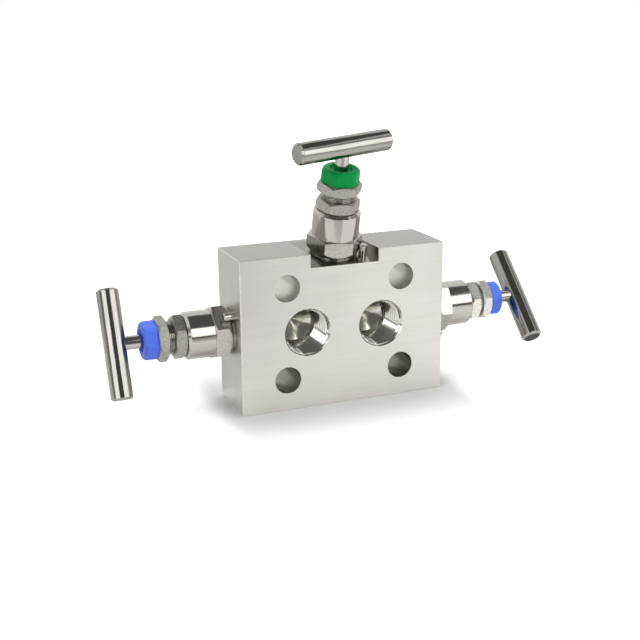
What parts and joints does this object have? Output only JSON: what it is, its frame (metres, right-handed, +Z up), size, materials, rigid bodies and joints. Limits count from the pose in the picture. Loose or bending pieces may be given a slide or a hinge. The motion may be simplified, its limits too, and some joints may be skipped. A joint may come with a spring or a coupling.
{
  "type": "instrument valve manifold",
  "caption": "Stainless valve manifold for a differential pressure transmitter: side isolating valves and a leaning equalising valve, with T-bar handles and coloured dust caps.",
  "frame": {"origin": "centre of the four-bolt pattern on the rear face, the face that meets the transmitter", "axes": "+Y out of the rear face towards the transmitter, +X to the right seen from the front, +Z up towards the equalising valve"},
  "size_m": [0.2049, 0.0445, 0.1195],
  "materials": {
    "satin_stainless": "fine-ground satin stainless steel",
    "polished_stainless": "turned and polished stainless steel",
    "cast_stainless": "matt pickled stainless steel",
    "blue_plastic": "moulded gloss blue",
    "green_plastic": "moulded gloss green",
    "ptfe": "white fluoropolymer",
    "graphite": "pressed graphite"
  },
  "bodies": {
    "manifold": {"manifold_block": "satin_stainless", "left_face_seal": "ptfe", "right_face_seal": "ptfe", "left_bonnet": "polished_stainless", "left_bonnet_seal": "graphite", "left_packing_washer": "polished_stainless", "left_packing": "ptfe", "left_gland_follower": "polished_stainless", "left_gland_nut": "cast_stainless", "left_lock_nut": "cast_stainless", "left_dust_cap": "blue_plastic", "left_lock_pin": "polished_stainless", "right_bonnet": "polished_stainless", "right_bonnet_seal": "graphite", "right_packing_washer": "polished_stainless", "right_packing": "ptfe", "right_gland_follower": "polished_stainless", "right_gland_nut": "cast_stainless", "right_lock_nut": "cast_stainless", "right_dust_cap": "blue_plastic", "right_lock_pin": "polished_stainless", "top_bonnet": "polished_stainless", "top_bonnet_seal": "graphite", "top_packing_washer": "polished_stainless", "top_packing": "ptfe", "top_gland_follower": "polished_stainless", "top_gland_nut": "cast_stainless", "top_lock_nut": "cast_stainless", "top_dust_cap": "green_plastic", "top_lock_pin": "polished_stainless"},
    "left_tip": {"left_stem_tip": "polished_stainless"},
    "left_spindle": {"left_stem": "polished_stainless", "left_handle_bar": "polished_stainless", "left_handle_pin": "polished_stainless"},
    "right_tip": {"right_stem_tip": "polished_stainless"},
    "right_spindle": {"right_stem": "polished_stainless", "right_handle_bar": "polished_stainless", "right_handle_pin": "polished_stainless"},
    "top_tip": {"top_stem_tip": "polished_stainless"},
    "top_spindle": {"top_stem": "polished_stainless", "top_handle_bar": "polished_stainless", "top_handle_pin": "polished_stainless"}
  },
  "joints": [
    {"name": "left_lift", "type": "slide", "parent": "manifold", "child": "left_tip", "axis": [-1, 0, 0], "range_m": [-0.0044, 0.0006]},
    {"name": "left_turn", "type": "hinge", "parent": "left_tip", "child": "left_spindle", "pos_m": [-0.048, -0.013, 0], "axis": [-1, 0, 0], "range_deg": [-1056, 144]},
    {"name": "right_lift", "type": "slide", "parent": "manifold", "child": "right_tip", "axis": [1, 0, 0], "range_m": [-0.003, 0.002]},
    {"name": "right_turn", "type": "hinge", "parent": "right_tip", "child": "right_spindle", "pos_m": [0.048, -0.013, 0], "axis": [1, 0, 0], "range_deg": [-720, 480]},
    {"name": "top_lift", "type": "slide", "parent": "manifold", "child": "top_tip", "axis": [0, -0.2334, 0.9724], "range_m": [-0.0028, 0.0022]},
    {"name": "top_turn", "type": "hinge", "parent": "top_tip", "child": "top_spindle", "pos_m": [0, -0.0169, 0.03164], "axis": [0, -0.2334, 0.9724], "range_deg": [-672, 528]}
  ],
  "couplings": [
    {"joint": "left_lift", "follows": "left_turn", "m_per_rad": 0.00023873},
    {"joint": "right_lift", "follows": "right_turn", "m_per_rad": 0.00023873},
    {"joint": "top_lift", "follows": "top_turn", "m_per_rad": 0.00023873}
  ]
}
